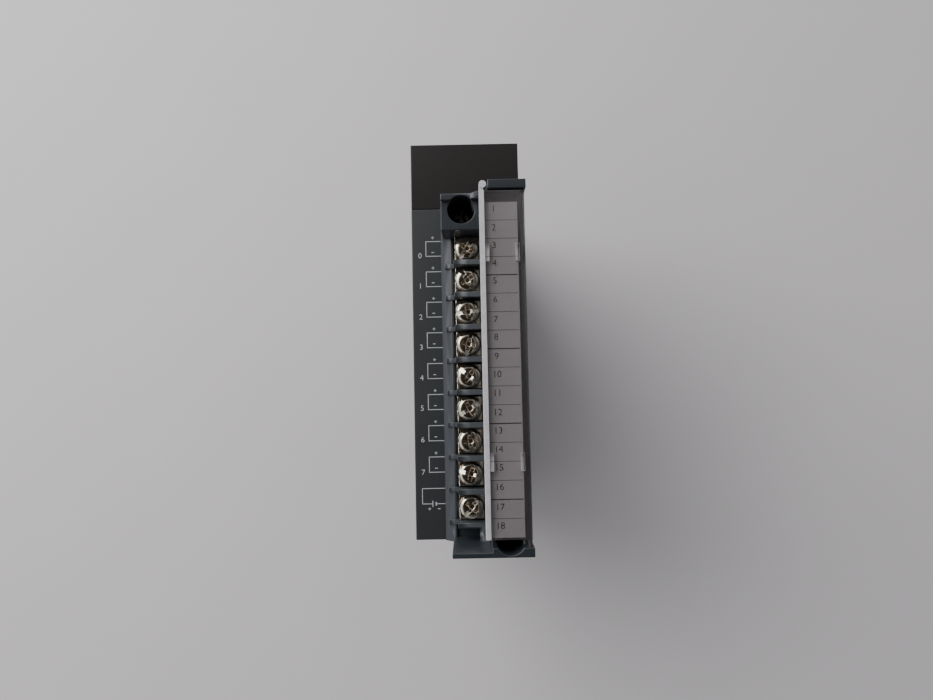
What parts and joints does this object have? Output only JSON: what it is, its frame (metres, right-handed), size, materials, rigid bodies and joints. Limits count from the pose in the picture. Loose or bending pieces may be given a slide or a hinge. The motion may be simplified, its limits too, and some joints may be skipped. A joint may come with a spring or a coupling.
{
  "type": "plc module",
  "caption": "Rack-mounted PLC input-output module in a dark moulded case, with a lift-off two-tier screw terminal block, a clear label door, rear bus connector and mounting hooks.",
  "frame": {"origin": "middle of the case's rear face, the plane that seats on the rack; the connector shroud and hooks reach 4.5 mm behind it", "axes": "+Z out of the module's front, +Y towards its top as mounted in a rack, +X to the right seen from the front"},
  "size_m": [0.027, 0.098, 0.1171],
  "materials": {
    "case_plastic": "fine moulded texture, dark grey",
    "latch_plastic": "fine moulded texture, dark grey",
    "block_plastic": "satin moulded, dark grey",
    "connector_plastic": "satin black",
    "smoked_window": "near-black smoked window",
    "smoked_door": "clear smoked",
    "clear_guide": "clear",
    "card_paper": "matt white card",
    "plate_foil": "satin, blank",
    "nickel_plate": "bright nickel plating",
    "tinned_brass": "tin plated",
    "zinc_steel": "zinc plated",
    "black_steel": "black oxide",
    "brass": "turned brass",
    "gold_contact": "gold flash",
    "board_laminate": "green solder resist",
    "chip_resin": "black moulding resin",
    "capacitor_sleeve": "dark blue sleeve",
    "ferrite": "sintered ferrite",
    "copper_wire": "enamelled copper",
    "lamp_lens": "diffused green lens"
  },
  "bodies": {
    "module_case": {"rear_case": "case_plastic", "front_case": "case_plastic", "lamp_cover": "smoked_window", "light_guide": "clear_guide", "nameplate": "plate_foil", "threaded_inserts": "brass", "latch_pin": "zinc_steel", "latch_spring": "zinc_steel", "main_board": "board_laminate", "output_board": "board_laminate", "board_spacers": "brass", "board_screws": "zinc_steel", "board_link": "connector_plastic", "bus_connector": "connector_plastic", "bus_contacts": "gold_contact", "block_socket": "connector_plastic", "socket_contacts": "gold_contact", "processor_chip": "chip_resin", "output_chips": "chip_resin", "isolator_chips": "chip_resin", "capacitors": "capacitor_sleeve", "transformer_core": "ferrite", "transformer_coil": "copper_wire", "status_lamp": "lamp_lens"},
    "latch": {"latch_hook": "latch_plastic"},
    "terminal_block": {"block_housing": "block_plastic", "lower_terminals": "tinned_brass", "upper_terminals": "tinned_brass", "lower_clamps": "nickel_plate", "upper_clamps": "nickel_plate", "lower_screws": "nickel_plate", "upper_screws": "nickel_plate", "screw_retainers": "zinc_steel"},
    "upper_fixing": {"upper_fixing_screw": "black_steel"},
    "lower_fixing": {"lower_fixing_screw": "black_steel"},
    "door": {"label_door": "smoked_door", "label_card": "card_paper"}
  },
  "joints": [
    {"name": "block_lift", "type": "slide", "parent": "module_case", "child": "terminal_block", "axis": [0, 0, 1], "range_m": [0, 0.03]},
    {"name": "door_hinge", "type": "hinge", "parent": "terminal_block", "child": "door", "pos_m": [0.01235, 0, 0.1113], "axis": [0, 1, 0], "range_deg": [0, 115]},
    {"name": "latch_press", "type": "hinge", "parent": "module_case", "child": "latch", "pos_m": [0, 0.0444, 0.03], "axis": [-1, 0, 0], "range_deg": [0, 3.5], "stiffness_Nm_per_rad": 0.6, "springref_deg": -4.58},
    {"name": "upper_fixing_screw_turn", "type": "hinge", "parent": "terminal_block", "child": "upper_fixing", "pos_m": [-0.001, 0.02855, 0.09], "axis": [0, 0, 1], "continuous": true},
    {"name": "lower_fixing_screw_turn", "type": "hinge", "parent": "terminal_block", "child": "lower_fixing", "pos_m": [0.00825, -0.045, 0.09], "axis": [0, 0, 1], "continuous": true}
  ]
}
